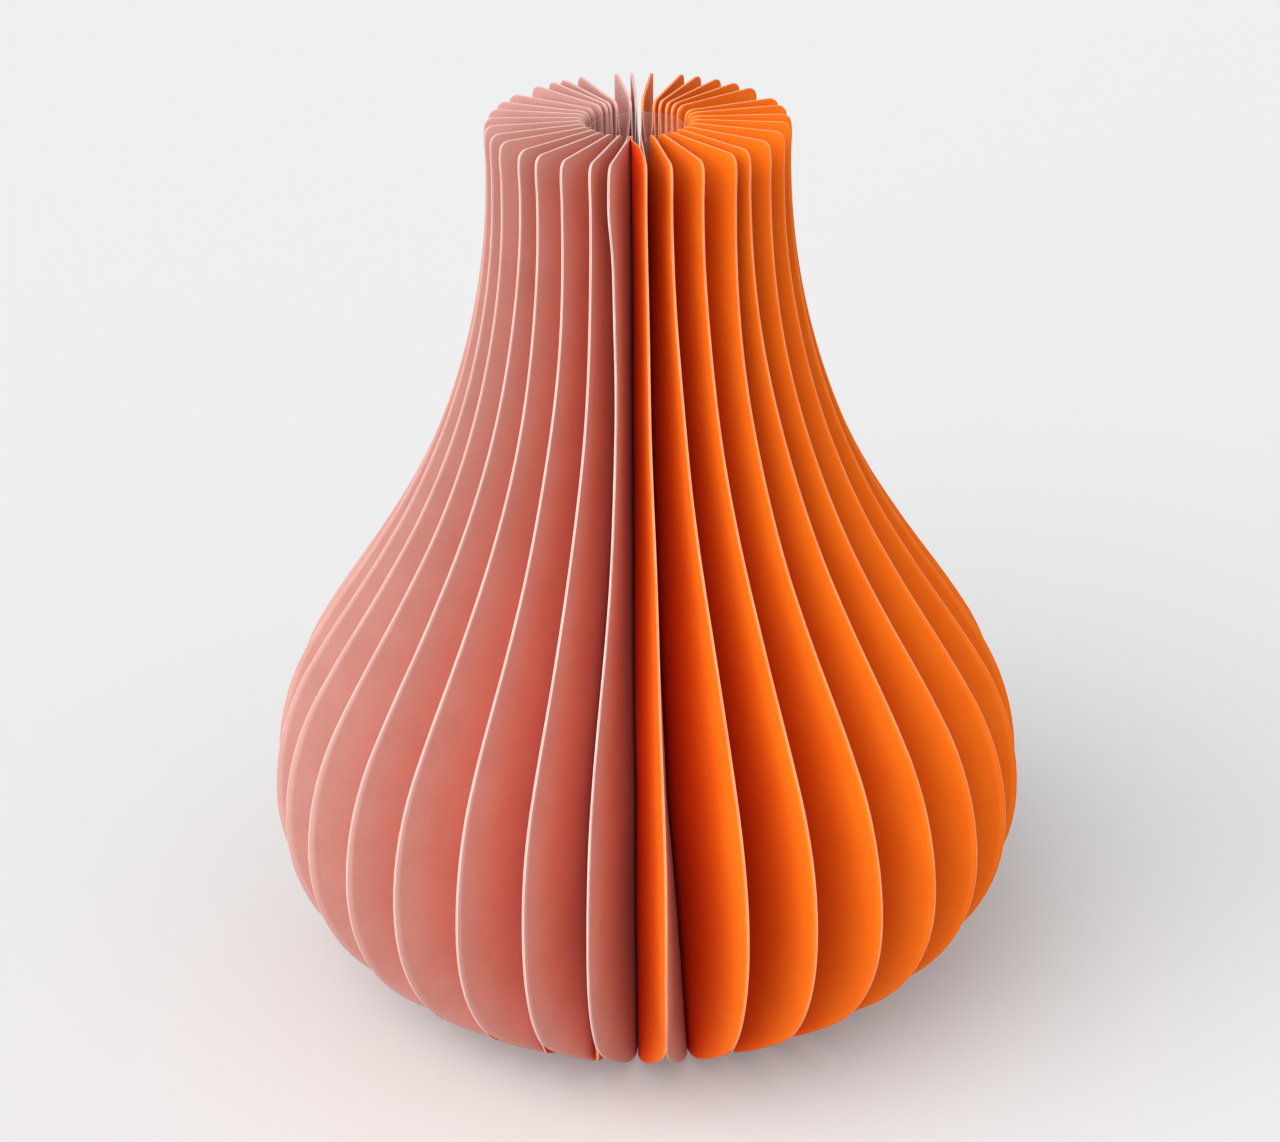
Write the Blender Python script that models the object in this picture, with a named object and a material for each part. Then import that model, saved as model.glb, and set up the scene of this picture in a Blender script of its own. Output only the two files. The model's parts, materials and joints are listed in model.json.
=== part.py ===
"""Accordion paper lantern: card leaves folded round a clear tube that holds a small light.

Metres, +Z up, origin on the lantern's centre line at the surface it stands on. Angles go
round +Z in degrees, from 0 at the front (-Y), through 90 at the right (+X).

The first and the last card of the accordion are its front and back covers. They meet at
the front, where a strip of tape joins them. Between them stand the leaves, each of two
cards glued along their outer edges. Each leaf turns about an upright fold axis between
itself and the leaf before it, so that the lantern closes to a flat stack like a book.
"""
import math

import bmesh
import bpy
from mathutils import Vector

# Card leaves
HEIGHT = 0.300
SPINE_R = 0.0158          # inner edge of every card, round the central hole
FOOT_R = 0.0592           # the cards stand on their edge from SPINE_R out to here
FOOT_ARC_R = 0.040
UNDERSIDE_TILT = 35.5     # degrees up from level
UNDERSIDE_RUN = 0.0185
BELLY_R = 0.0646          # arc from the underside up to the widest point
UPPER_BELLY_R = 0.095
SHOULDER_TILT = 33.4      # degrees in from upright
SHOULDER_RUN = 0.041
HOLLOW_R = 0.2356         # hollow arc from the shoulder up to the upright neck
TOP_CORNER_R = 0.003
HOLE_CORNER_R = 0.0025
CARD = 0.0004             # one card
LEAF = 2 * CARD           # two cards glued together
STACK_GAP = 0.0001        # air between two leaves of the closed stack

# Join of the covers at the front
JOIN_ANGLE = -8.5
TAPE = 0.0003
TAPE_GAP = 0.0002
TAPE_WIDTH = 0.008
TAPE_INSET = 0.0012
TAPE_ENDS = (0.034, 0.286)

# How far each fold stands open, from the front cover round to the back cover. It was
# opened by hand, so the folds at the back are uneven.
FOLD_OPENINGS = (
    11.0, 11.5, 10.5, 11.0, 11.0, 11.0, 12.0, 11.5, 10.0, 12.0, 9.0, 16.5,
    9.5, 8.0, 8.5, 7.0, 13.0, 7.0, 6.0, 16.0, 7.5, 5.0, 8.0, 13.0,
    11.5, 9.0, 10.5, 10.0, 10.5, 10.5, 11.0, 10.5, 11.0, 10.5, 9.5,
)

# Clear tube: a sheet rolled up, whose end laps over its start at the back
TUBE_R = 0.0144           # middle of the sheet
TUBE_SHEET = 0.0004
TUBE_TOP = 0.297
TUBE_LAP = 0.003
TUBE_LAP_RISE = 0.0007
TUBE_STEPS = 48

# Battery light that stands in the tube
LIGHT_R = 0.0132
LIGHT_SHOULDER_Z = 0.016
LIGHT_TOP_Z = 0.019
DIFFUSER_SEAT_R = 0.0116
DIFFUSER_R = 0.0128
DIFFUSER_WALL = 0.001
DIFFUSER_TOP_Z = 0.045
CAVITY_R = 0.0108
COVER_R = 0.0117
COVER_SEAT_R = 0.0120
COVER_SEAT_Z = 0.0016
CELL_R = 0.0100           # a common 20 mm coin cell
CELL_H = 0.0032
BOARD_Z = 0.0100
BOARD_H = 0.0010
LED_R = 0.0025            # a common 5 mm LED
LED_HOLE_R = 0.0031
SWITCH_SIZE = (0.0040, 0.0015, 0.0026)
SWITCH_Y = -0.01265
SWITCH_Z = 0.0125
SWITCH_TRAVEL = 0.0024
GAP = 0.0003              # between pieces that touch
ROUND_STEPS = 32


def material(name, colour, roughness, metallic=0.0, alpha=1.0):
    """A Principled material."""
    made = bpy.data.materials.new(name)
    made.use_nodes = True
    shader = made.node_tree.nodes["Principled BSDF"]
    shader.inputs["Base Color"].default_value = (*colour, 1.0)
    shader.inputs["Roughness"].default_value = roughness
    shader.inputs["Metallic"].default_value = metallic
    shader.inputs["Alpha"].default_value = alpha
    return made


def mesh_object(name, bm, materials, smooth=False):
    """Turn bm into an object of this name."""
    bmesh.ops.recalc_face_normals(bm, faces=bm.faces)
    mesh = bpy.data.meshes.new(name)
    bm.to_mesh(mesh)
    bm.free()
    for one in materials:
        mesh.materials.append(one)
    if smooth:
        mesh.shade_smooth()
        mesh.set_sharp_from_angle(angle=math.radians(35))
    thing = bpy.data.objects.new(name, mesh)
    bpy.context.scene.collection.objects.link(thing)
    return thing


def arc(centre, radius, start, end, steps):
    """Points on an arc, from start to end in degrees, both ends included."""
    points = []
    for i in range(steps + 1):
        turn = math.radians(start + (end - start) * i / steps)
        points.append((centre[0] + radius * math.cos(turn), centre[1] + radius * math.sin(turn)))
    return points


def run_on(points, length, heading):
    """Add a straight run to a line of points. A heading of 0 is outward and 90 is up."""
    turn = math.radians(heading)
    points.append((points[-1][0] + length * math.cos(turn), points[-1][1] + length * math.sin(turn)))


def bend_on(points, radius, heading, new_heading, steps):
    """Add an arc that turns from one heading to the other."""
    side = 90 if new_heading > heading else -90
    turn = math.radians(heading + side)
    centre = (points[-1][0] + radius * math.cos(turn), points[-1][1] + radius * math.sin(turn))
    points += arc(centre, radius, heading - side, new_heading - side, steps)[1:]


def outer_edge():
    """The card's outer edge as (radius, height), from the foot up to the neck."""
    points = [(FOOT_R, 0.0)]
    bend_on(points, FOOT_ARC_R, 0, UNDERSIDE_TILT, 5)
    run_on(points, UNDERSIDE_RUN, UNDERSIDE_TILT)
    bend_on(points, BELLY_R, UNDERSIDE_TILT, 90, 9)
    bend_on(points, UPPER_BELLY_R, 90, 90 + SHOULDER_TILT, 6)
    run_on(points, SHOULDER_RUN, 90 + SHOULDER_TILT)
    bend_on(points, HOLLOW_R, 90 + SHOULDER_TILT, 90, 8)
    return points


def card_outline():
    """A whole card as (radius, height), anticlockwise from the foot of its spine."""
    edge = outer_edge()
    neck_r = edge[-1][0]
    top = arc((neck_r - TOP_CORNER_R, HEIGHT - TOP_CORNER_R), TOP_CORNER_R, 0, 90, 5)
    hole = arc((SPINE_R + HOLE_CORNER_R, HEIGHT - HOLE_CORNER_R), HOLE_CORNER_R, 90, 180, 3)
    return [(SPINE_R, 0.0)] + edge + top + hole


def edge_radius(height):
    """The radius of the card's outer edge at this height."""
    edge = outer_edge()
    for low, high in zip(edge, edge[1:]):
        if low[1] <= height <= high[1]:
            share = (height - low[1]) / (high[1] - low[1])
            return low[0] + share * (high[0] - low[0])
    return edge[-1][0]


def tape_outline():
    """The strip of tape just inside the outer edge, as (radius, height)."""
    low, high = TAPE_ENDS
    heights = [low + (high - low) * i / 16 for i in range(17)]
    outside = [(edge_radius(z) - TAPE_INSET, z) for z in heights]
    inside = [(radius - TAPE_WIDTH, z) for radius, z in reversed(outside)]
    return outside + inside


def plate(name, outline, thickness, materials, edge_material=0):
    """A flat plate in local X and Z, half its thickness on either side of local Y = 0.

    Its +Y face gets the first material and its -Y face the second.
    """
    bm = bmesh.new()
    face = bm.faces.new([bm.verts.new((x, thickness / 2, z)) for x, z in outline])
    made = bmesh.ops.extrude_face_region(bm, geom=[face])
    moved = [v for v in made["geom"] if isinstance(v, bmesh.types.BMVert)]
    bmesh.ops.translate(bm, vec=Vector((0, -thickness, 0)), verts=moved)
    bm.normal_update()
    for one in bm.faces:
        flat = len(one.verts) == len(outline)
        back = flat and one.calc_center_median().y < 0
        one.material_index = (1 if back else 0) if flat else edge_material
    return mesh_object(name, bm, materials)


def turned(name, profile, one_material, steps=ROUND_STEPS):
    """A round piece about its own Z from a closed profile of (radius, height).

    A profile that starts and ends on the axis makes a solid piece, any other makes a
    ring.
    """
    bm = bmesh.new()
    rings = []
    for radius, height in profile:
        if radius == 0.0:
            rings.append([bm.verts.new((0, 0, height))] * steps)
            continue
        turns = [2 * math.pi * i / steps for i in range(steps)]
        rings.append([bm.verts.new((radius * math.cos(t), radius * math.sin(t), height)) for t in turns])
    solid = profile[0][0] == 0.0
    pairs = list(zip(rings, rings[1:])) if solid else list(zip(rings, rings[1:] + rings[:1]))
    for below, above in pairs:
        for i in range(steps):
            j = (i + 1) % steps
            corners = [below[i], below[j], above[j], above[i]]
            distinct = list(dict.fromkeys(corners))
            if len(distinct) > 2:
                bm.faces.new(distinct)
    return mesh_object(name, bm, [one_material], smooth=True)


def box(name, size, centre, one_material):
    """A box of this size about this centre."""
    bm = bmesh.new()
    bmesh.ops.create_cube(bm, size=1.0)
    bmesh.ops.scale(bm, vec=Vector(size), verts=bm.verts)
    thing = mesh_object(name, bm, [one_material])
    thing.location = centre
    return thing


def cut(thing, name, size, centre):
    """Cut a box out of thing."""
    cutter = box(name, size, centre, thing.data.materials[0])
    cutter.hide_render = True
    cutter.display_type = "WIRE"
    boolean = thing.modifiers.new(name, "BOOLEAN")
    boolean.operation = "DIFFERENCE"
    boolean.solver = "EXACT"
    boolean.object = cutter


def empty(name, location, parent=None):
    """An empty at a place in the world, which carries what is parented to it."""
    thing = bpy.data.objects.new(name, None)
    thing.empty_display_size = 0.01
    bpy.context.scene.collection.objects.link(thing)
    thing.parent = parent
    thing.location = Vector(location) - (world_place(parent) if parent else Vector())
    return thing


def world_place(thing):
    """Where an empty stands in the world. Empties here are moved but never turned."""
    place = Vector()
    while thing:
        place += thing.location
        thing = thing.parent
    return place


def on_fold(thing, fold):
    """Parent a card to the empty on its fold axis, and leave it where it stands."""
    thing.parent = fold
    thing.location -= world_place(fold)


def outward(angle):
    """Unit vector out from the centre line at this angle, as a complex number x + yi."""
    return -1j * sideways(angle)


def sideways(angle):
    """Unit vector square to that one, towards rising angles."""
    turn = math.radians(angle)
    return complex(math.cos(turn), math.sin(turn))


class Card:
    """Where one leaf or cover stands: its angle, thickness and offset along sideways."""

    def __init__(self, name, angle, thickness, offset=0.0):
        self.name = name
        self.angle = angle
        self.thickness = thickness
        self.offset = offset

    def spine(self):
        """The inner edge, seen from above."""
        return SPINE_R * outward(self.angle) + self.offset * sideways(self.angle)

    def place(self, thing):
        """Stand a plate made in local X and Z where this card is."""
        shift = self.offset * sideways(self.angle)
        thing.location = (shift.real, shift.imag, 0)
        thing.rotation_euler = (0, 0, math.radians(self.angle - 90))


def accordion():
    """Every card from the front cover round to the back cover."""
    cover_offset = CARD / 2 + TAPE_GAP + TAPE / 2
    cards = [Card("front_cover", JOIN_ANGLE, CARD, cover_offset)]
    angle = JOIN_ANGLE
    for i, opening in enumerate(FOLD_OPENINGS[:-1]):
        angle += opening
        cards.append(Card(f"leaf_{i + 1:02d}", angle, LEAF))
    cards.append(Card("back_cover", angle + FOLD_OPENINGS[-1], CARD, -cover_offset))
    return cards


def fold_axis(card, following):
    """Where the upright axis between two cards stands, as x + yi.

    Turned back about it by the angle between them, the following card lies flat on this
    one, spine to spine.
    """
    spacing = (card.thickness + following.thickness) / 2 + STACK_GAP
    closed_spine = card.spine() + spacing * sideways(card.angle)
    turn = sideways(card.angle - following.angle)
    return (closed_spine - turn * following.spine()) / (1 - turn)


def make_cards(pink, orange, edge, tape):
    """The covers, the leaves and the tape, each moving card on its fold axis."""
    cards = accordion()
    outline = card_outline()
    front = plate("front_cover", outline, CARD, [pink, edge])
    cards[0].place(front)
    strip = plate("closing_tape", tape_outline(), TAPE, [tape])
    Card("closing_tape", JOIN_ANGLE, TAPE).place(strip)
    leaf_mesh = None
    fold = None
    for card, following in zip(cards, cards[1:]):
        axis = fold_axis(card, following)
        fold = empty(following.name + "_fold", (axis.real, axis.imag, 0), fold)
        if following.name == "back_cover":
            thing = plate("back_cover", outline, CARD, [edge, orange])
        elif leaf_mesh is None:
            thing = plate(following.name, outline, LEAF, [pink, orange, edge], edge_material=2)
            leaf_mesh = thing.data
        else:
            thing = bpy.data.objects.new(following.name, leaf_mesh)
            bpy.context.scene.collection.objects.link(thing)
        following.place(thing)
        on_fold(thing, fold)


def make_tube(clear):
    """The rolled sheet, whose lap is at the back (+Y)."""
    lap = math.degrees(TUBE_LAP / TUBE_R)
    start = 90 - lap / 2
    rise = 20.0
    middle = []
    for i in range(TUBE_STEPS + 1):
        turn = start + 360 * i / TUBE_STEPS
        before_end = start + 360 - turn
        lift = max(0.0, 1 - before_end / rise)
        middle.append((turn, TUBE_R + TUBE_LAP_RISE * lift**2 * (3 - 2 * lift)))
    for i in (1, 2):
        middle.append((start + 360 + lap * i / 2, TUBE_R + TUBE_LAP_RISE))
    outside = [(turn, radius + TUBE_SHEET / 2) for turn, radius in middle]
    inside = [(turn, radius - TUBE_SHEET / 2) for turn, radius in reversed(middle)]
    bm = bmesh.new()
    corners = []
    for turn, radius in outside + inside:
        way = math.radians(turn)
        corners.append(bm.verts.new((radius * math.cos(way), radius * math.sin(way), 0)))
    section = bm.faces.new(corners)
    made = bmesh.ops.extrude_face_region(bm, geom=[section])
    moved = [v for v in made["geom"] if isinstance(v, bmesh.types.BMVert)]
    bmesh.ops.translate(bm, vec=Vector((0, 0, TUBE_TOP)), verts=moved)
    mesh_object("clear_tube", bm, [clear], smooth=True)


def make_light(plastic, frosted, steel, board, lens, brass):
    """The battery light, from its cover at the bottom up to its diffuser."""
    base = turned("light_base", [
        (LIGHT_R, 0.0), (LIGHT_R, LIGHT_SHOULDER_Z), (DIFFUSER_SEAT_R, LIGHT_SHOULDER_Z),
        (DIFFUSER_SEAT_R, LIGHT_TOP_Z), (LED_HOLE_R, LIGHT_TOP_Z), (LED_HOLE_R, LIGHT_TOP_Z - 0.0015),
        (CAVITY_R, LIGHT_TOP_Z - 0.0015), (CAVITY_R, COVER_SEAT_Z), (COVER_SEAT_R, COVER_SEAT_Z),
        (COVER_SEAT_R, 0.0)], plastic)
    pocket_width = SWITCH_SIZE[0] + SWITCH_TRAVEL + 2 * GAP
    pocket_back = SWITCH_Y + SWITCH_SIZE[1] / 2 + GAP
    pocket_depth = LIGHT_R + pocket_back + 0.001
    cut(base, "switch_pocket", (pocket_width, pocket_depth, SWITCH_SIZE[2] + 2 * GAP),
        (0, pocket_back - pocket_depth / 2, SWITCH_Z))

    switch = box("switch_slider", SWITCH_SIZE, (0, 0, 0), plastic)
    switch.location = (-SWITCH_TRAVEL / 2, SWITCH_Y, SWITCH_Z)

    cover = turned("battery_cover", [
        (0.0, 0.0002), (COVER_R, 0.0002), (COVER_R, COVER_SEAT_Z - GAP), (0.0, COVER_SEAT_Z - GAP)],
        plastic)
    cut(cover, "coin_slot", (0.010, 0.0014, 0.0012), (0, 0, 0.0002))

    cell_z = COVER_SEAT_Z + GAP
    for name in ("coin_cell_lower", "coin_cell_upper"):
        turned(name, [
            (0.0, cell_z), (CELL_R - 0.0012, cell_z), (CELL_R - 0.0012, cell_z + 0.0004),
            (CELL_R, cell_z + 0.0004), (CELL_R, cell_z + CELL_H), (0.0, cell_z + CELL_H)], steel)
        cell_z += CELL_H + GAP

    contact_top = BOARD_Z - GAP
    turned("battery_contact", [
        (0.0, contact_top - 0.0002), (0.0045, contact_top - 0.0005), (0.0045, contact_top - 0.0002),
        (0.0, contact_top)], brass)

    turned("circuit_board", [
        (0.0, BOARD_Z), (CAVITY_R - GAP, BOARD_Z), (CAVITY_R - GAP, BOARD_Z + BOARD_H),
        (0.0, BOARD_Z + BOARD_H)], board)

    led_z = BOARD_Z + BOARD_H + GAP
    led_dome = arc((0.0, led_z + 0.0061), LED_R, 0, 90, 5)
    turned("led", [(0.0, led_z), (0.0029, led_z), (0.0029, led_z + 0.001), (LED_R, led_z + 0.001)]
           + led_dome[:-1] + [(0.0, led_z + 0.0061 + LED_R)], lens)

    seat_z = LIGHT_SHOULDER_Z + GAP
    straight = DIFFUSER_TOP_Z - DIFFUSER_R
    inner_r = DIFFUSER_R - DIFFUSER_WALL
    outer = arc((0.0, straight), DIFFUSER_R, 0, 90, 8)[:-1]
    inner = arc((0.0, straight), inner_r, 90, 0, 8)[1:]
    turned("light_diffuser", [(0.0, DIFFUSER_TOP_Z - DIFFUSER_WALL)] + inner
           + [(inner_r, seat_z), (DIFFUSER_R, seat_z)] + outer + [(0.0, DIFFUSER_TOP_Z)], frosted)


def main():
    for thing in list(bpy.data.objects):
        bpy.data.objects.remove(thing, do_unlink=True)
    pink = material("pink_card", (0.56, 0.19, 0.15), 0.75)
    orange = material("orange_card", (0.90, 0.20, 0.02), 0.75)
    edge = material("card_edge", (0.90, 0.55, 0.45), 0.85)
    tape = material("tape", (0.85, 0.80, 0.75), 0.6)
    clear = material("clear_plastic", (0.95, 0.95, 0.93), 0.08, alpha=0.3)
    plastic = material("white_plastic", (0.85, 0.85, 0.83), 0.4)
    frosted = material("frosted_plastic", (0.95, 0.93, 0.88), 0.6)
    steel = material("cell_steel", (0.70, 0.70, 0.70), 0.3, metallic=1.0)
    board = material("circuit_board", (0.05, 0.25, 0.10), 0.5)
    lens = material("led_lens", (0.95, 0.90, 0.60), 0.2)
    brass = material("brass", (0.78, 0.60, 0.28), 0.35, metallic=1.0)
    make_cards(pink, orange, edge, tape)
    make_tube(clear)
    make_light(plastic, frosted, steel, board, lens, brass)


main()
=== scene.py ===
"""Looks of the accordion paper lantern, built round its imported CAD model.

Every leaf is two cards, pink on one side and orange on the other, glued along their outer
edges. The cards bow apart behind that edge until each meets the card of the next leaf, and
run on beside it to the spine. Angles go round +Z from the front (-Y), towards +X.
"""
import json
import math
import random

import bpy
import numpy as np
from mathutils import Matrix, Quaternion, Vector


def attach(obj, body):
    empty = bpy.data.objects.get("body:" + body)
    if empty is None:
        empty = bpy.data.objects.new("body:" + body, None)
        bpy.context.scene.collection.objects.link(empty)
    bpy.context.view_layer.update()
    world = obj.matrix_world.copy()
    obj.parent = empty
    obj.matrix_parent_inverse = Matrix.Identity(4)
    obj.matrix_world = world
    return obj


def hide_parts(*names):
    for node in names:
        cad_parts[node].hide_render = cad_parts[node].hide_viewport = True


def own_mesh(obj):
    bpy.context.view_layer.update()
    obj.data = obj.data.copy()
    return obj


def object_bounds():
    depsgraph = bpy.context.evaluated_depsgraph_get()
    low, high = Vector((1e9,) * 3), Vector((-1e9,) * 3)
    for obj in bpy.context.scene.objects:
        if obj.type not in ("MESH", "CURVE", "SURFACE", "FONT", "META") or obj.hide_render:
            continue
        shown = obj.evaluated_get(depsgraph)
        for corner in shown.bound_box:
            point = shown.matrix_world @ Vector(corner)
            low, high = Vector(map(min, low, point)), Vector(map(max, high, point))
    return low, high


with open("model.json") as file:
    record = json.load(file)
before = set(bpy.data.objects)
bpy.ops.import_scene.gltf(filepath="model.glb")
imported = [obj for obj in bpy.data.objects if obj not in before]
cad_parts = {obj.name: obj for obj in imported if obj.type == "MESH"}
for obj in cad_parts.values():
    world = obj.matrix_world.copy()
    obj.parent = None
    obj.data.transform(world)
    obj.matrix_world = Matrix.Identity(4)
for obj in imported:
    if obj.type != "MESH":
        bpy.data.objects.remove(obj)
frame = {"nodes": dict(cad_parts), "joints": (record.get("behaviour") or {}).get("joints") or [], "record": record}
cad_low, cad_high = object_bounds()
HEIGHT = cad_high.z

# Lengths are in metres and angles in degrees.

# Camera and light
CAMERA_DISTANCE = 1.0779
CAMERA_ELEVATION = 25.73
CAMERA_ROLL = -0.84
CAMERA_AIM = (-0.0013, 0.0, 0.1446)
CAMERA_LENS = 92.5        # millimetres, on a sensor of SENSOR_WIDTH
SENSOR_WIDTH = 36.0
CAMERA_FAR = 10.0
SKY = (0.98, 0.99, 1.0, 1.0)
SKY_STRENGTH = 0.42
FLOOR_GREY = (0.60, 0.60, 0.60, 1.0)
FLOOR_GLOW = 0.13
FLOOR_REACH = 6.0
FLOOR_LEVEL = -0.0003

# Colours of the two dyes, lighter and deeper
PINK = ((0.61, 0.365, 0.33), (0.56, 0.315, 0.28))
PINK_SHEEN = {"sheen": 0.08, "sheen_tint": (1.0, 0.92, 0.90)}
ORANGE = ((0.96, 0.215, 0.010), (0.93, 0.185, 0.008))
CLOUD_NOISE = {"detail": 5.0, "roughness": 0.55}
GRAIN_NOISE = {"detail": 4.0, "roughness": 0.65}
GRAIN_SHARE = 0.7         # of the grain in a finish's colour, next to the clouds
CLOUD_RANGE = (0.5, 1.2)  # of both together, from the deeper colour to the lighter
GRAIN_STRENGTH = 0.3

# Cards
CARD = 0.00036
CARD_OFFSET = 0.0002      # of a card's middle from the middle of its leaf, where they are glued
FOLD_OFFSET = 0.55 * CARD  # of a card's middle from the fold's plane, where it meets its neighbour
GLUED_ABOVE = 0.030       # below this height the two cards of a leaf come apart
TOP_CORNER = 0.004        # height of the rounded corner at the top
RIM = 0.022               # in the last stretch below the top, the cards of a leaf stay together
RIM_LEAD = 0.1            # share of that stretch, at its top, where they lie flat on each other
PALE_RIM = 0.010          # how far down the glue pales the inside of a leaf
NECK_R = 0.0474
BELLY_R = 0.1246

# Two values in turn are for the neck and for the belly.
MEET_SHARE = (0.46, 0.54)  # radius where neighbours meet, as a share of the outer edge's
SHALLOW_SHARE = (0.54, 0.68)  # the same for the left half, whose pleats are shallower
BOW_POWER = (1.6, 1.15)   # 1 is a straight V, and more keeps the cards together for longer
RIM_POWER = 3.0           # added to it at the very top
MEET_SOFT = 0.0008        # how gently a card turns in beside its neighbour

ROWS = 100
COLUMNS = 22
COLUMN_POWER = 1.25       # above 1, the columns are closer together at the outer edge
END_DENSITY = 0.78        # how much closer together the rows are at the foot and the top
# Painted shade: each card's colour is darkened towards its fold, standing in for the shade deep in the pleats.
INWARD = "inward"         # how deep a point lies in its pleat: 0 at the edge and rim, 1 at the fold
PAINTED_SHADE_AT = (0.15, 1.0)  # the stretch of that over which painted shade darkens a card's colour

# Points of the CAD
OUTER_PART = 0.03         # beyond this radius a card's points show its angle
SAME_POINT = 0.0002
ON_LEVEL = 0.0001
RADIUS_ORDER = 0.001      # sorts points of one height by their radius

# Where each fold lies between its leaves, as a share of their opening, at these heights
FOLD_HEIGHTS = (0.0, 0.05, 0.10, 0.22)
FOLD_SHARES = {
    "front_cover": (0.43, 0.44, 0.48, 0.22),
    "leaf_01": (0.69, 0.50, 0.26, 0.22),
    "leaf_34": (0.60, 0.60, 0.60, 0.60),
}
FOLD_SPREAD = 0.06

# How far the outer edge of a leaf sways round, at these heights
SWAY_HEIGHTS = (0.0, 0.14, 0.19, 0.22, 0.25, 0.274, 0.284, 0.30)
SWAYS = {
    "front_cover": (0.0003, -0.0002, 0.0009, 0.0007, -0.0002, -0.0009, -0.0018, -0.0018),
    "leaf_02": (0.0, 0.0, -0.0003, -0.0006, -0.0011, -0.0014, -0.0016, -0.0018),
    "leaf_04": (0.0, 0.0, 0.0003, 0.0006, 0.0011, 0.0014, 0.0016, 0.0018),
    "leaf_05": (0.0, 0.0, -0.0002, -0.0004, -0.0007, -0.0009, -0.0010, -0.0011),
}
SWAY_SPREAD = 0.0005      # the most that the top of any other leaf sways
SWAY_FROM = 0.14          # height where that begins
SWAY_RUN = 0.16
SWAY_STEPS = 100
WAVE = 0.00025            # of every edge, on top of that
WAVE_RATES = (31, 83)     # radians per metre of height
SECOND_WAVE = 0.5
SEED = 11

# Tape between the covers
TAPE = 0.0002
TAPE_WIDTH = 0.008
TAPE_ENDS = (0.032, 0.288)
TAPE_COLUMNS = (0.0, 0.0012, TAPE_WIDTH)
TAPE_PROUD = 0.0007       # how far its torn edge stands out past the cards, at most
TAPE_TEETH = 420
TEETH_IN_TEAR = 9         # of the fine teeth in each of the slower tears

# Clear sheet in the hole
FILM = 0.00025
FILM_STEPS = 160
FILM_ROWS = 40
FILM_LAP = 12
FILM_LIFT_FROM = 330      # from here the outer end lifts off, over FILM_LIFT_RUN
FILM_LIFT_RUN = 30
FILM_RISE = 0.0006        # of the outer end, over the inner one
FILM_OVAL = 0.012
FILM_DROP = 0.0002        # of the whole film, below the CAD's tube
FILM_UNEVEN = 0.0002      # of its top edge
FILM_WAVES = 3            # in that edge


# ---------------------------------------------------------------- reading the frame

class Leaf:
    """One pleat of the lantern: where it stands, and its folds to the leaves beside it."""

    def __init__(self, angle, pink_node, orange_node):
        self.angle = angle
        self.pink_node = pink_node
        self.orange_node = orange_node
        self.opening = {1: 0.0, -1: 0.0}      # to the next leaf on its pink and its orange side
        self.share = {1: None, -1: None}      # of that opening up to the fold, at FOLD_HEIGHTS
        self.meet_share = {1: MEET_SHARE, -1: MEET_SHARE}
        self.open_at_rim = {1: True, -1: True}
        ends = random.uniform(-SWAY_SPREAD, SWAY_SPREAD)
        rest = [ends * max(0.0, height - SWAY_FROM) / SWAY_RUN for height in SWAY_HEIGHTS]
        self.sways = SWAYS.get(pink_node, rest)
        self.phase = random.uniform(0, 2 * math.pi)

    def outward(self):
        turn = math.radians(self.angle)
        return np.array((math.sin(turn), -math.cos(turn), 0.0))

    def sideways(self):
        turn = math.radians(self.angle)
        return np.array((math.cos(turn), math.sin(turn), 0.0))


def node_points(name):
    return np.array([v.co for v in frame["nodes"][name].data.vertices], float)


def node_angle(name):
    """The angle of a CAD card, from the points on its outer part."""
    points = node_points(name)
    outer = points[np.hypot(points[:, 0], points[:, 1]) > OUTER_PART].mean(0)
    return math.degrees(math.atan2(outer[0], -outer[1]))


def read_leaves():
    """All pleats in order round the lantern. The first is the two covers together."""
    join = (node_angle("front_cover") + node_angle("back_cover")) / 2
    leaves = [Leaf(join, "front_cover", "back_cover")]
    names = sorted(name for name in frame["nodes"] if name.startswith("leaf_"))
    leaves += [Leaf(node_angle(name) % 360, name, name) for name in names]
    for leaf, following in zip(leaves, leaves[1:] + leaves[:1]):
        opening = (following.angle - leaf.angle) % 360
        middle = 0.5 + random.uniform(-FOLD_SPREAD, FOLD_SPREAD)
        shares = np.array(FOLD_SHARES.get(leaf.pink_node, (middle,) * len(FOLD_HEIGHTS)))
        leaf.opening[1] = following.opening[-1] = opening
        if following.angle > 180 or following is leaves[0]:
            leaf.meet_share[1] = following.meet_share[-1] = SHALLOW_SHARE
        leaf.open_at_rim[1] = following.open_at_rim[-1] = leaf is not leaves[0]
        leaf.share[1] = shares
        following.share[-1] = 1 - shares
    return leaves


def read_outline():
    """Outer and inner edge of a card as (radius, height) rows, from the CAD's own outline."""
    name = "leaf_01"
    turn = math.radians(node_angle(name))
    points = node_points(name)
    radius = points[:, 0] * math.sin(turn) - points[:, 1] * math.cos(turn)
    order = np.argsort(points[:, 2] + radius * RADIUS_ORDER)
    flat = []
    for i in order:
        corner = (radius[i], points[i, 2])
        if all(math.dist(corner, kept) > SAME_POINT for kept in flat):
            flat.append(corner)
    flat = np.array(flat)
    foot = flat[flat[:, 1] < ON_LEVEL]
    middle = (foot[:, 0].min() + foot[:, 0].max()) / 2
    middle = min(middle, flat[flat[:, 1] > HEIGHT - ON_LEVEL, 0].mean())
    outer = flat[flat[:, 0] > middle]
    inner = flat[flat[:, 0] <= middle]
    return outer, inner


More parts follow.
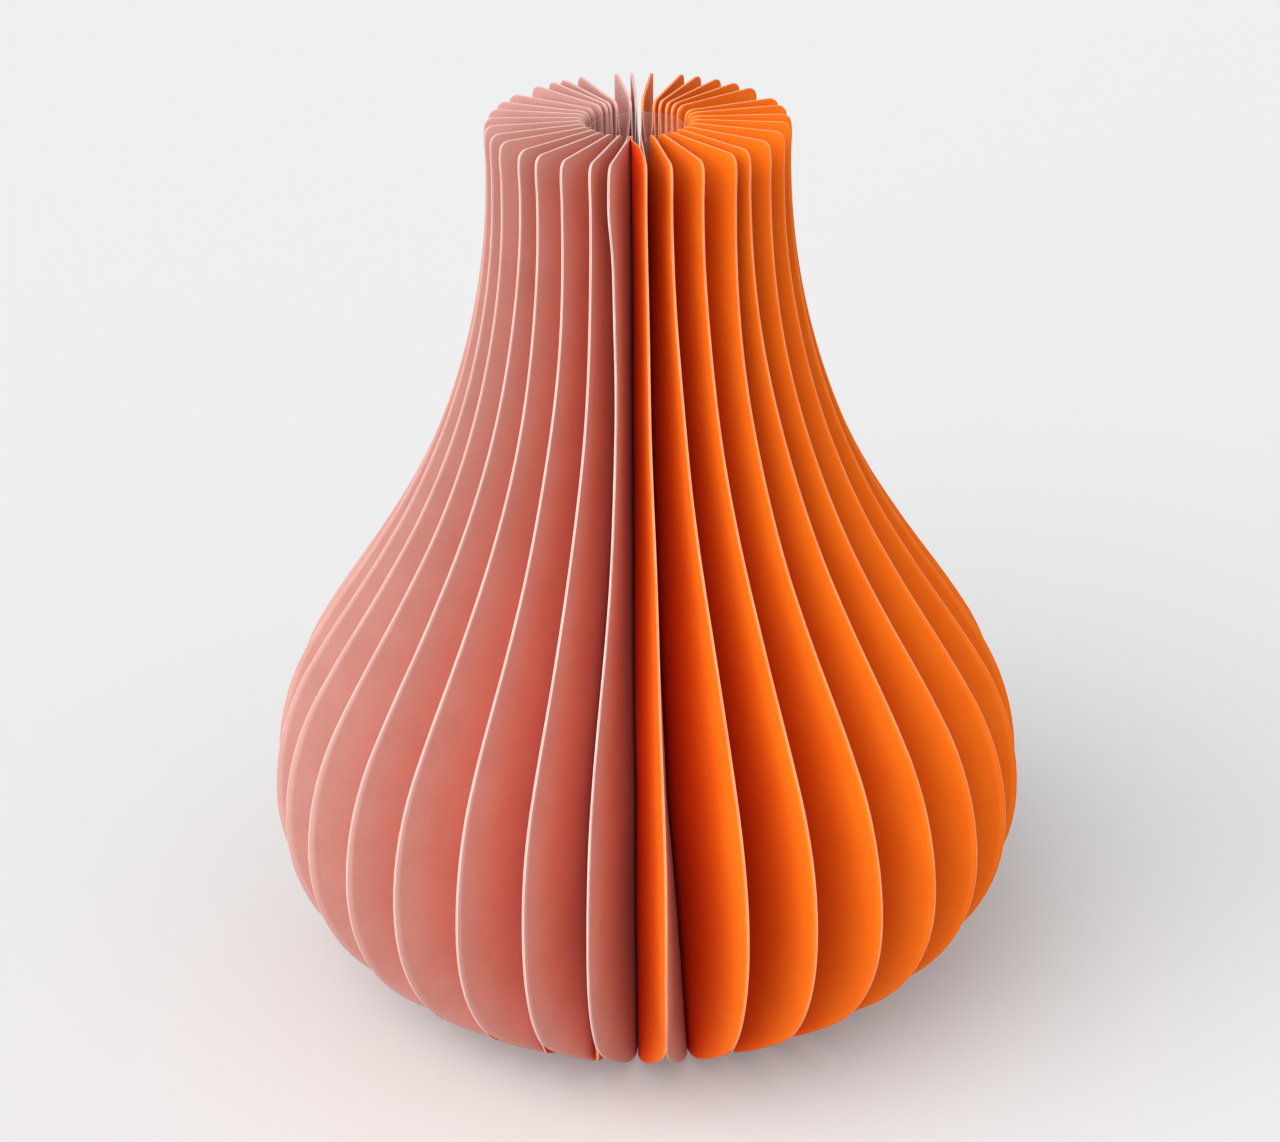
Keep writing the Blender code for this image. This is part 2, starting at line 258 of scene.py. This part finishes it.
def smooth_through(points, count):
    """Points on a smooth curve through the given ones, closer together towards its ends."""
    steps = np.hypot(*np.diff(points, axis=0).T)
    at = np.concatenate(((0.0,), np.cumsum(steps)))
    slopes = np.gradient(points, at, axis=0, edge_order=1)
    even = np.linspace(0.0, 1.0, count)
    wanted = at[-1] * (even - END_DENSITY * np.sin(2 * np.pi * even) / (2 * np.pi))
    k = np.clip(np.searchsorted(at, wanted, side="right") - 1, 0, len(steps) - 1)
    length = steps[k][:, None]
    t = ((wanted - at[k]) / steps[k])[:, None]
    a, b = points[k], points[k + 1]
    ma, mb = slopes[k] * length, slopes[k + 1] * length
    return ((2 * t**3 - 3 * t**2 + 1) * a + (t**3 - 2 * t**2 + t) * ma
            + (-2 * t**3 + 3 * t**2) * b + (t**3 - t**2) * mb)


# ---------------------------------------------------------------- materials

def new_material(name):
    made = bpy.data.materials.new(name)
    made.use_nodes = True
    return made, made.node_tree.nodes, made.node_tree.links


def noise(nodes, links, where, scale, detail, roughness):
    made = nodes.new("ShaderNodeTexNoise")
    made.inputs["Scale"].default_value = scale
    made.inputs["Detail"].default_value = detail
    made.inputs["Roughness"].default_value = roughness
    links.new(where, made.inputs["Vector"])
    return made.outputs["Fac"]


def ramp(nodes, links, value, low, high, low_at, high_at):
    made = nodes.new("ShaderNodeValToRGB")
    made.color_ramp.elements[0].position = low_at
    made.color_ramp.elements[0].color = (*low, 1.0)
    made.color_ramp.elements[1].position = high_at
    made.color_ramp.elements[1].color = (*high, 1.0)
    links.new(value, made.inputs["Fac"])
    return made.outputs["Color"]


def bump(nodes, links, value, shader, strength, distance):
    made = nodes.new("ShaderNodeBump")
    made.inputs["Strength"].default_value = strength
    made.inputs["Distance"].default_value = distance
    links.new(value, made.inputs["Height"])
    links.new(made.outputs["Normal"], shader.inputs["Normal"])


def surface(name, light, deep, roughness, cloud_scale, grain_scale, grain_depth,
            grain_shape=(1, 1, 1)):
    """A finish whose colour clouds from deep to light, with a fine grain in colour and relief."""
    made, nodes, links = new_material(name)
    shader = nodes["Principled BSDF"]
    shader.inputs["Roughness"].default_value = roughness
    where = nodes.new("ShaderNodeTexCoord")
    shape = nodes.new("ShaderNodeMapping")
    shape.inputs["Scale"].default_value = grain_shape
    links.new(where.outputs["Object"], shape.inputs["Vector"])
    cloud = noise(nodes, links, where.outputs["Object"], cloud_scale, **CLOUD_NOISE)
    grain = noise(nodes, links, shape.outputs["Vector"], grain_scale, **GRAIN_NOISE)
    both = nodes.new("ShaderNodeMath")
    both.operation = "MULTIPLY_ADD"
    both.inputs[1].default_value = GRAIN_SHARE
    links.new(grain, both.inputs[0])
    links.new(cloud, both.inputs[2])
    colour = ramp(nodes, links, both.outputs["Value"], deep, light, *CLOUD_RANGE)
    links.new(colour, shader.inputs["Base Color"])
    bump(nodes, links, grain, shader, GRAIN_STRENGTH, grain_depth)
    return made, shader


def card_material(name, light, deep, roughness=0.72, sheen=0.0, sheen_tint=(1, 1, 1),
                  painted_fold_shade=None):
    """Dyed card: a matt felt of fibres, slightly cloudy in colour.

    The last argument multiplies the colour at the fold, and less and less on the way out to the edge. It is
    painted shade, darkening the card where the pleat's shade falls.
    """
    made, shader = surface(name, light, deep, roughness, cloud_scale=70.0, grain_scale=1700.0,
                           grain_depth=0.00006, grain_shape=(1, 1, 0.4))
    # Painted shade: darken the colour towards the fold, following the INWARD attribute.
    if painted_fold_shade:
        nodes, links = made.node_tree.nodes, made.node_tree.links
        inward = nodes.new("ShaderNodeAttribute")
        inward.attribute_name = INWARD
        untinted = (1.0, 1.0, 1.0)
        deeper = ramp(nodes, links, inward.outputs["Fac"], untinted, painted_fold_shade, *PAINTED_SHADE_AT)
        mix = nodes.new("ShaderNodeMix")
        mix.data_type = "RGBA"
        mix.blend_type = "MULTIPLY"
        mix.inputs["Factor"].default_value = 1.0
        plain = shader.inputs["Base Color"].links[0].from_socket
        links.new(plain, mix.inputs["A"])
        links.new(deeper, mix.inputs["B"])
        links.new(mix.outputs["Result"], shader.inputs["Base Color"])
    shader.inputs["Specular IOR Level"].default_value = 0.3
    shader.inputs["Sheen Weight"].default_value = sheen
    shader.inputs["Sheen Roughness"].default_value = 0.45
    shader.inputs["Sheen Tint"].default_value = (*sheen_tint, 1.0)
    return made


def clear_material(name, light, deep, roughness, alpha):
    made, shader = surface(name, light, deep, roughness, cloud_scale=60.0, grain_scale=900.0,
                           grain_depth=0.00001)
    shader.inputs["Alpha"].default_value = alpha
    return made


def metal_material(name, light, deep, roughness, grain_shape):
    made, shader = surface(name, light, deep, roughness, cloud_scale=150.0, grain_scale=1500.0,
                           grain_depth=0.00002, grain_shape=grain_shape)
    shader.inputs["Metallic"].default_value = 1.0
    return made


def light_finishes():
    """Materials for the slots of the battery light."""
    white, shader = surface("white_moulding", (0.86, 0.86, 0.84), (0.80, 0.80, 0.78), roughness=0.42,
                            cloud_scale=90.0, grain_scale=2500.0, grain_depth=0.00003)
    shader.inputs["Specular IOR Level"].default_value = 0.45
    frosted, shader = surface("frosted_moulding", (0.96, 0.94, 0.89), (0.90, 0.88, 0.82),
                              roughness=0.6, cloud_scale=60.0, grain_scale=1800.0,
                              grain_depth=0.00005)
    shader.inputs["Subsurface Weight"].default_value = 0.3
    shader.inputs["Subsurface Scale"].default_value = 0.002
    lens, shader = surface("epoxy_lens", (0.98, 0.94, 0.66), (0.93, 0.87, 0.55), roughness=0.12,
                           cloud_scale=200.0, grain_scale=1200.0, grain_depth=0.00001)
    shader.inputs["Coat Weight"].default_value = 0.6
    board, shader = surface("solder_mask", (0.05, 0.27, 0.11), (0.03, 0.19, 0.07), roughness=0.35,
                            cloud_scale=300.0, grain_scale=1400.0, grain_depth=0.00003,
                            grain_shape=(1, 0.15, 1))
    shader.inputs["Coat Weight"].default_value = 0.3
    brass = metal_material("pressed_brass", (0.80, 0.62, 0.30), (0.70, 0.52, 0.23),
                           roughness=0.32, grain_shape=(0.2, 1, 1))
    steel = metal_material("plated_cell", (0.74, 0.74, 0.74), (0.64, 0.64, 0.65),
                           roughness=0.26, grain_shape=(1, 1, 0.1))
    return {"white_plastic": white, "frosted_plastic": frosted, "led_lens": lens,
            "circuit_board": board, "contact_brass": brass, "cell_steel": steel}


# ---------------------------------------------------------------- the cards

def between(values, radius):
    """A value that goes from the neck's to the belly's with the radius of the outer edge."""
    share = np.clip((radius - NECK_R) / (BELLY_R - NECK_R), 0.0, 1.0)
    return values[0] + (values[1] - values[0]) * share


def side_shift(leaf, height, reach):
    """How far the outer part of a leaf stands off its own plane.

    reach goes from 0 at the fold to 1 at the outer edge.
    """
    curve = smooth_through(np.column_stack((SWAY_HEIGHTS, leaf.sways)), SWAY_STEPS)
    sway = np.interp(height, curve[:, 0], curve[:, 1])
    slow, quick = WAVE_RATES
    first = np.sin(height * slow + leaf.phase)
    second = SECOND_WAVE * np.sin(height * quick + 2 * leaf.phase)
    return (sway + WAVE * (first + second)) * reach


def even_rows(outline):
    """Rows of a card from its foot to its top: outer and inner radius, and height."""
    outer, inner = outline
    rows = smooth_through(outer, ROWS + 1)
    rows[:, 1] = np.clip(rows[:, 1], 0.0, HEIGHT)
    inner_radius = np.interp(rows[:, 1], inner[:, 1], inner[:, 0])
    return rows[:, 0, None], inner_radius[:, None], rows[:, 1, None]


def fold_line(edge, height, meet_share):
    """For each row: the radius where the glue ends, the one of the fold, and the bow's power."""
    below_corner = height[:, 0] < HEIGHT - TOP_CORNER
    glued_at = np.maximum(height[:, 0], GLUED_ABOVE)
    glued = np.interp(glued_at, height[below_corner, 0], edge[below_corner, 0])
    widest_above = np.maximum(np.maximum.accumulate(edge[::-1, 0])[::-1], NECK_R)
    meet = widest_above * between(meet_share, widest_above)
    return glued[:, None], meet[:, None], between(BOW_POWER, widest_above)[:, None]


def in_space(leaf, radius, aside, height):
    up = np.array((0.0, 0.0, 1.0))
    return (radius[..., None] * leaf.outward() + aside[..., None] * leaf.sideways()
            + height[..., None] * up)


def card_shape(leaf, side, outline):
    """Rows of points up one card, each from the outer edge in to the spine, and their INWARD."""
    edge, spine, row_height = even_rows(outline)
    glued, meet, power = fold_line(edge, row_height, leaf.meet_share[side])
    share = np.linspace(0.0, 1.0, COLUMNS + 1) ** COLUMN_POWER
    radius = edge + (spine - edge) * share
    height = np.repeat(row_height, COLUMNS + 1, axis=1)
    near_top = np.clip((height - HEIGHT) / RIM + (1 + RIM_LEAD), 0.0, 1.0)
    power = power + RIM_POWER * near_top**2

    angle = leaf.opening[side] * np.interp(row_height, FOLD_HEIGHTS, leaf.share[side])
    half = np.tan(np.radians(angle))
    depth = np.maximum(glued - radius, 0.0) / (glued - meet)
    free = CARD_OFFSET + meet * half * depth**power
    plane = radius * half - FOLD_OFFSET
    bow = 0.5 * (free + plane - np.sqrt((free - plane) ** 2 + MEET_SOFT**2))
    together = near_top**2 * (3 - 2 * near_top) * leaf.open_at_rim[side]
    bow = CARD_OFFSET + np.maximum(bow - CARD_OFFSET, 0.0) * (1 - together)
    reach = np.clip((radius - meet) / (glued - meet), 0.0, 1.0)
    aside = side * bow + side_shift(leaf, height, reach)
    # The second value is the depth in the pleat that the painted fold shade follows.
    return in_space(leaf, radius, aside, height), (1 - reach) * (1 - together)


def thin_sheet(name, places, thickness, materials, flipped=False):
    """A sheet of this thickness round a grid of points.

    materials holds three in turn, for the front, the back and the cut edges. It may hold
    three more, for the stretch within PALE_RIM of the top.
    """
    rows, columns = places.shape[0] - 1, places.shape[1] - 1
    faces, slots = [], []
    for i in range(rows):
        for j in range(columns):
            a = i * (columns + 1) + j
            quad = (a, a + 1, a + columns + 2, a + columns + 1)
            faces.append(quad[::-1] if flipped else quad)
            at_rim = len(materials) > 3 and places[i, j, 2] > HEIGHT - PALE_RIM
            slots.append(3 if at_rim else 0)
    mesh = bpy.data.meshes.new(name)
    mesh.from_pydata(places.reshape(-1, 3).tolist(), [], faces)
    for one in materials:
        mesh.materials.append(one)
    mesh.polygons.foreach_set("material_index", slots)
    mesh.shade_smooth()
    made = bpy.data.objects.new(name, mesh)
    bpy.context.scene.collection.objects.link(made)
    thick = made.modifiers.new("sheet", "SOLIDIFY")
    thick.thickness = thickness
    thick.offset = 0.0
    thick.material_offset = 1
    thick.material_offset_rim = 2
    return made


def make_lantern(leaves, outline, pink, orange, even_pink, even_orange, pale_edge, salmon_edge):
    """All cards of the lantern. The covers' inner sides show only when it is folded."""
    joints = {joint["child"]: joint["name"] for joint in frame["joints"]}
    body_nodes = frame["record"]["behaviour"]["bodies"]
    bodies = {node: body for body, nodes in body_nodes.items() for node in nodes}
    for leaf, following in zip(leaves, leaves[1:] + leaves[:1]):
        before_fold = joints[bodies[leaf.orange_node]]
        after_fold = joints[bodies[following.orange_node]]
        edge = salmon_edge if 0 < leaf.angle < 180 else pale_edge
        for side, node, skin, even_skin, tint, fold in (
                (1, leaf.pink_node, pink, even_pink, "pink", after_fold),
                (-1, leaf.orange_node, orange, even_orange, "orange", before_fold)):
            places, inward = card_shape(leaf, side, outline)
            skins = (skin, even_skin, edge)
            if leaf is not leaves[0]:
                skins = (skin, skin, edge, skin, edge, edge)
            card = thin_sheet(f"{node}_{tint}", places, CARD, skins, flipped=side < 0)
            # Depth in the pleat, which darkens the card colour as painted shade.
            values = card.data.attributes.new(INWARD, "FLOAT", "POINT").data
            values.foreach_set("value", inward.ravel().tolist())
            anchor = side * CARD_OFFSET * leaf.sideways()
            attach(card, bodies[node])
            tuple(leaf.sideways())
            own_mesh(card)
            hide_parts(node)


def make_tape(join, outline, tape):
    """The strip that holds the covers together, with a torn edge between theirs."""
    edge, _, height = even_rows(outline)
    glued, meet, _ = fold_line(edge, height, join.meet_share[1])
    tall = np.linspace(*TAPE_ENDS, TAPE_TEETH)[:, None]
    outer = np.interp(tall, height[:, 0], edge[:, 0])
    teeth = np.array([random.uniform(0.0, 1.0) for _ in tall])[:, None]
    slow = np.array([random.uniform(0.0, 1.0) for _ in range(TAPE_TEETH // TEETH_IN_TEAR)])
    slow = np.interp(tall, np.linspace(*TAPE_ENDS, len(slow)), slow)
    torn = outer + TAPE_PROUD * (0.5 * teeth + 0.5 * slow)
    radius = torn - np.array(TAPE_COLUMNS)
    glued = np.interp(tall, height[:, 0], glued[:, 0])
    meet = np.interp(tall, height[:, 0], meet[:, 0])
    reach = np.clip((radius - meet) / (glued - meet), 0.0, 1.0)
    height = np.repeat(tall, len(TAPE_COLUMNS), axis=1)
    places = in_space(join, radius, side_shift(join, height, reach), height)
    strip = thin_sheet("torn_tape", places, TAPE, (tape, tape, tape))
    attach(strip, "front_cover")
    tuple(join.sideways())
    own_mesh(strip)
    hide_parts("closing_tape")


def make_tube(film, film_edge):
    """A clear sheet rolled into the hole, its ends lapped at the back."""
    points = node_points("clear_tube")
    inside = np.hypot(points[:, 0], points[:, 1]).min() + FILM / 2
    low, high = points[:, 2].min(), points[:, 2].max()
    turns = np.radians(np.linspace(0.0, 360.0 + FILM_LAP, FILM_STEPS + 1))
    lift_from, lift_run = math.radians(FILM_LIFT_FROM), math.radians(FILM_LIFT_RUN)
    lapped = np.clip((turns - lift_from) / lift_run, 0.0, 1.0)
    radius = inside * (1 + FILM_OVAL * np.sin(turns) ** 2) + FILM_RISE * lapped**2 * (3 - 2 * lapped)
    height = np.linspace(low, high, FILM_ROWS + 1)[:, None]
    uneven = FILM_UNEVEN * np.sin(FILM_WAVES * turns) * (height - low) / (high - low)
    flat = np.ones_like(height)
    places = np.stack((flat * radius * np.sin(turns), flat * radius * np.cos(turns),
                       height - FILM_DROP + uneven), -1)
    tube = thin_sheet("rolled_film", places, FILM, (film, film, film_edge), flipped=True)
    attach(tube, "clear_tube")
    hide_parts("clear_tube")


def finish_light(finishes):
    """Finer materials on the CAD pieces of the light, chosen by their slots."""
    for node in frame["nodes"].values():
        for holder in node.material_slots:
            slot_name = holder.material.name.split(".")[0]
            if slot_name in finishes:
                holder.material = finishes[slot_name]


# ---------------------------------------------------------------- studio

def make_camera():
    lift = math.radians(CAMERA_ELEVATION)
    centre = Vector((0.0, 0.0, HEIGHT / 2))
    camera = bpy.data.objects.new("camera", bpy.data.cameras.new("camera"))
    camera.data.lens = CAMERA_LENS
    camera.data.sensor_width = SENSOR_WIDTH
    camera.data.clip_end = CAMERA_FAR
    camera.location = centre + CAMERA_DISTANCE * Vector((0.0, -math.cos(lift), math.sin(lift)))
    level = (Vector(CAMERA_AIM) - camera.location).to_track_quat("-Z", "Y")
    camera.rotation_euler = (level @ Quaternion((0, 0, 1), math.radians(CAMERA_ROLL))).to_euler()
    bpy.context.scene.collection.objects.link(camera)
    bpy.context.scene.camera = camera


def make_sun(name, azimuth, elevation, width, power):
    """A far, wide, soft light from this side. Azimuth 0 is the front and 90 the right."""
    light = bpy.data.lights.new(name, "SUN")
    light.angle = math.radians(width)
    light.energy = power
    turn, lift = math.radians(azimuth), math.radians(elevation)
    level = math.cos(lift)
    source = Vector((math.sin(turn) * level, -math.cos(turn) * level, math.sin(lift)))
    thing = bpy.data.objects.new(name, light)
    thing.location = source
    thing.rotation_euler = (-source).to_track_quat("-Z", "Y").to_euler()
    bpy.context.scene.collection.objects.link(thing)


def make_studio():
    world = bpy.data.worlds.new("studio")
    world.use_nodes = True
    background = world.node_tree.nodes["Background"]
    background.inputs["Color"].default_value = SKY
    background.inputs["Strength"].default_value = SKY_STRENGTH
    bpy.context.scene.world = world
    made, nodes, _ = new_material("pale_floor")
    shader = nodes["Principled BSDF"]
    shader.inputs["Base Color"].default_value = FLOOR_GREY
    shader.inputs["Emission Color"].default_value = (1.0, 1.0, 1.0, 1.0)
    shader.inputs["Emission Strength"].default_value = FLOOR_GLOW
    shader.inputs["Roughness"].default_value = 0.95
    shader.inputs["Specular IOR Level"].default_value = 0.1
    mesh = bpy.data.meshes.new("floor")
    corners = [(x * FLOOR_REACH, y * FLOOR_REACH, FLOOR_LEVEL)
               for x, y in ((-1, -1), (1, -1), (1, 1), (-1, 1))]
    mesh.from_pydata(corners, [], [(0, 1, 2, 3)])
    mesh.materials.append(made)
    floor = bpy.data.objects.new("floor", mesh)
    bpy.context.scene.collection.objects.link(floor)
    make_sun("key", azimuth=-46, elevation=36, width=72, power=2.6)
    make_sun("fill", azimuth=42, elevation=40, width=80, power=0.50)


bpy.context.scene.view_settings.view_transform = "Standard"
bpy.context.scene.view_settings.look = "Medium High Contrast"
random.seed(SEED)
make_camera()
make_studio()
# The outer cards carry painted shade towards their folds. The even materials, on the covers' inner sides, do not.
pink = card_material("pink_card", *PINK, **PINK_SHEEN, painted_fold_shade=(1.0, 0.88, 0.84))
orange = card_material("orange_card", *ORANGE, painted_fold_shade=(1.0, 0.30, 0.6))
even_pink = card_material("even_pink_card", *PINK, **PINK_SHEEN)
even_orange = card_material("even_orange_card", *ORANGE)
pale_edge = card_material("pale_edge", (0.82, 0.56, 0.51), (0.76, 0.46, 0.41), roughness=0.9)
salmon_edge = card_material("salmon_edge", (0.96, 0.40, 0.22), (0.92, 0.28, 0.13), roughness=0.9)
tape = card_material("torn_paper_tape", (0.84, 0.66, 0.61), (0.74, 0.52, 0.46), roughness=0.85)
film = clear_material("clear_film", (0.97, 0.93, 0.90), (0.93, 0.88, 0.85), roughness=0.10,
                      alpha=0.035)
film_edge = clear_material("film_edge", (0.95, 0.86, 0.80), (0.86, 0.76, 0.70), roughness=0.25,
                           alpha=0.35)
leaves = read_leaves()
outline = read_outline()
make_lantern(leaves, outline, pink, orange, even_pink, even_orange, pale_edge, salmon_edge)
make_tape(leaves[0], outline, tape)
make_tube(film, film_edge)
finish_light(light_finishes())
